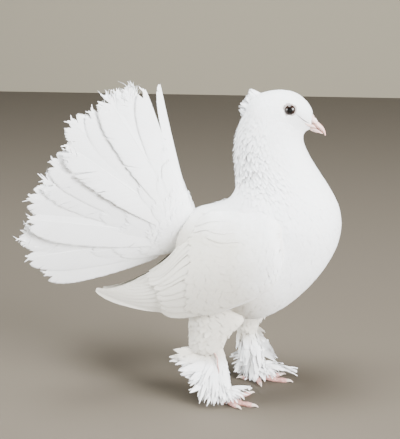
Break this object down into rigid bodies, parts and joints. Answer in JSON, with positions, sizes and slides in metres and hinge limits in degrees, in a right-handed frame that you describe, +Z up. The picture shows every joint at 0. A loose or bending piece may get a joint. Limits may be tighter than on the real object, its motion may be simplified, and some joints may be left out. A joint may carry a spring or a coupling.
{
  "type": "pigeon figure",
  "caption": "Standing white fan-tailed pigeon with nape crest, spread upright tail and feathered feet, life size.",
  "frame": {"origin": "on the floor, below the middle of the model's bounding box", "axes": "+X the way the bird faces, +Y its left, +Z up; the feet stand on z = 0"},
  "size_m": [0.269, 0.1472, 0.2785],
  "materials": {
    "plumage": "soft matt feathers",
    "bill": "smooth pale pink horn",
    "cere": "soft powdery skin",
    "eye": "wet gloss",
    "foot": "pink scaled skin",
    "claw": "smooth pale horn"
  },
  "bodies": {
    "root": {"bill_lower": "bill", "bill_upper": "bill", "cere": "cere", "claw_left_hind": "claw", "claw_left_inner": "claw", "claw_left_middle": "claw", "claw_left_outer": "claw", "claw_right_hind": "claw", "claw_right_inner": "claw", "claw_right_middle": "claw", "claw_right_outer": "claw", "eye_left": "eye", "eye_right": "eye", "foot_left": "foot", "foot_right": "foot", "head": "plumage", "neck": "plumage", "shank_left": "plumage", "shank_right": "plumage", "tail_lower_left": "plumage", "tail_lower_right": "plumage", "tail_upper_left": "plumage", "tail_upper_right": "plumage", "thigh_left": "plumage", "thigh_right": "plumage", "torso": "plumage", "wing_left": "plumage", "wing_right": "plumage", "wing_tip_left": "plumage", "wing_tip_right": "plumage"}
  },
  "joints": []
}
